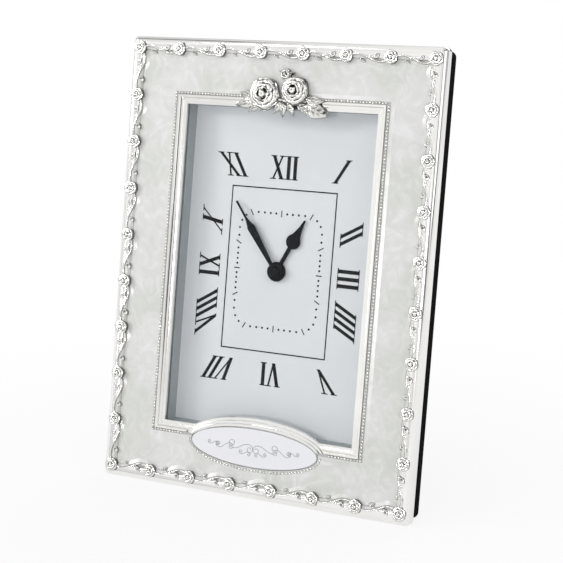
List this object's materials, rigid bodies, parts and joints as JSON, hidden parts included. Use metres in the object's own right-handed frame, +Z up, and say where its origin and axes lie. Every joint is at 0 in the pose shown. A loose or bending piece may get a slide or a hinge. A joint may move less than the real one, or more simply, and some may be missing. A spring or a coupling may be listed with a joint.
{
  "type": "photo frame clock",
  "caption": "Rectangular photo frame with a rose border and an analogue clock dial behind its glass, leaning on a folding easel strut.",
  "frame": {"origin": "on the table, under the middle of the whole clock's box", "axes": "+Z up, -Y towards the viewer who faces the dial, +X to that viewer's right"},
  "size_m": [0.155, 0.0556, 0.2045],
  "materials": {
    "polished_silver": "polished silver plate, darkened in the hollows",
    "pearl_enamel": "glossy pearl enamel with soft swirls",
    "window_glass": "clear polished",
    "pale_card": "matt pale grey",
    "dial_card": "printed satin card",
    "black_metal": "satin black",
    "board": "raw fibreboard",
    "black_velvet": "short black pile",
    "hardboard": "smooth dark hardboard",
    "bright_steel": "nickel plated",
    "foam_tape": "closed cell foam",
    "movement_plastic": "fine moulded grain",
    "battery_sleeve": "glossy sleeve",
    "circuit_board": "solder mask",
    "copper_wire": "enamelled copper wire",
    "white_plastic": "natural moulded",
    "brass": "turned"
  },
  "bodies": {
    "frame": {"front_frame": "polished_silver", "enamel_field": "pearl_enamel", "border_roses": "polished_silver", "rose_cluster": "polished_silver", "oval_plaque": "polished_silver", "window_glass": "window_glass", "spacer_frame": "pale_card", "dial_card": "dial_card", "board_core": "board", "velvet_cover": "black_velvet", "back_panel": "hardboard", "turn_button_screws": "bright_steel", "mounting_pad": "foam_tape", "movement_front_plate": "movement_plastic", "movement_cover": "movement_plastic", "battery": "battery_sleeve", "battery_contact_negative": "bright_steel", "battery_contact_positive": "bright_steel", "circuit_board": "circuit_board", "quartz_crystal": "bright_steel", "control_chip": "movement_plastic", "stator": "bright_steel", "coil": "copper_wire", "strut_hinge_plate": "bright_steel", "hinge_pin": "bright_steel", "hinge_rivets": "bright_steel"},
    "turn_button_1": {"turn_button_1": "bright_steel"},
    "turn_button_2": {"turn_button_2": "bright_steel"},
    "turn_button_3": {"turn_button_3": "bright_steel"},
    "turn_button_4": {"turn_button_4": "bright_steel"},
    "rotor": {"rotor": "white_plastic"},
    "intermediate_wheel": {"intermediate_wheel": "white_plastic"},
    "seconds_wheel": {"seconds_wheel": "white_plastic"},
    "third_wheel": {"third_wheel": "white_plastic"},
    "centre_wheel": {"centre_wheel": "white_plastic"},
    "minute_set": {"minute_arbor": "brass", "minute_hand": "black_metal", "hand_nut": "black_metal"},
    "motion_wheel": {"motion_wheel": "white_plastic"},
    "hour_set": {"hour_wheel": "white_plastic", "hour_hand": "black_metal"},
    "setting_knob": {"setting_knob": "movement_plastic"},
    "strut": {"easel_strut": "black_velvet", "strut_hinge_flap": "bright_steel", "strut_rivets": "bright_steel"}
  },
  "joints": [
    {"name": "minute_turn", "type": "hinge", "parent": "frame", "child": "minute_set", "pos_m": [0, -0.00533, 0.10245], "axis": [0, 0.9848, -0.1736], "continuous": true},
    {"name": "hour_turn", "type": "hinge", "parent": "frame", "child": "hour_set", "pos_m": [0, -0.00533, 0.10245], "axis": [0, 0.9848, -0.1736], "continuous": true},
    {"name": "motion_turn", "type": "hinge", "parent": "frame", "child": "motion_wheel", "pos_m": [0.00827, 0.00968, 0.09832], "axis": [0, 0.9848, -0.1736], "continuous": true},
    {"name": "knob_turn", "type": "hinge", "parent": "frame", "child": "setting_knob", "pos_m": [0.01555, 0.01041, 0.10246], "axis": [0, 0.9848, -0.1736], "continuous": true},
    {"name": "rotor_turn", "type": "hinge", "parent": "frame", "child": "rotor", "pos_m": [0.01287, 0.01245, 0.11404], "axis": [0, 0.9848, -0.1736], "continuous": true},
    {"name": "intermediate_turn", "type": "hinge", "parent": "frame", "child": "intermediate_wheel", "pos_m": [0.00693, 0.01245, 0.11404], "axis": [0, 0.9848, -0.1736], "continuous": true},
    {"name": "seconds_turn", "type": "hinge", "parent": "frame", "child": "seconds_wheel", "pos_m": [0, 0.01245, 0.11404], "axis": [0, 0.9848, -0.1736], "continuous": true},
    {"name": "third_turn", "type": "hinge", "parent": "frame", "child": "third_wheel", "pos_m": [-0.00474, 0.01124, 0.10719], "axis": [0, 0.9848, -0.1736], "continuous": true},
    {"name": "centre_turn", "type": "hinge", "parent": "frame", "child": "centre_wheel", "pos_m": [0, -0.00533, 0.10245], "axis": [0, 0.9848, -0.1736], "continuous": true},
    {"name": "strut_fold", "type": "hinge", "parent": "frame", "child": "strut", "pos_m": [0, 0.00052, 0.05877], "axis": [1, 0, 0], "range_deg": [-24, 0]},
    {"name": "button_1_swivel", "type": "hinge", "parent": "frame", "child": "turn_button_1", "pos_m": [-0.056, 0.0159, 0.15463], "axis": [0, 0.9848, -0.1736], "range_deg": [-95, 95]},
    {"name": "button_2_swivel", "type": "hinge", "parent": "frame", "child": "turn_button_2", "pos_m": [0.056, 0.0159, 0.15463], "axis": [0, 0.9848, -0.1736], "range_deg": [-95, 95]},
    {"name": "button_3_swivel", "type": "hinge", "parent": "frame", "child": "turn_button_3", "pos_m": [-0.056, -0.00323, 0.04615], "axis": [0, 0.9848, -0.1736], "range_deg": [-95, 95]},
    {"name": "button_4_swivel", "type": "hinge", "parent": "frame", "child": "turn_button_4", "pos_m": [0.056, -0.00323, 0.04615], "axis": [0, 0.9848, -0.1736], "range_deg": [-95, 95]}
  ],
  "couplings": [
    {"joint": "hour_turn", "follows": "minute_turn", "ratio": 0.083333},
    {"joint": "motion_turn", "follows": "minute_turn", "ratio": -0.33333},
    {"joint": "knob_turn", "follows": "minute_turn", "ratio": 1},
    {"joint": "intermediate_turn", "follows": "rotor_turn", "ratio": -0.2},
    {"joint": "seconds_turn", "follows": "rotor_turn", "ratio": 0.033333},
    {"joint": "third_turn", "follows": "rotor_turn", "ratio": -0.0044444},
    {"joint": "centre_turn", "follows": "rotor_turn", "ratio": 0.00055556}
  ]
}
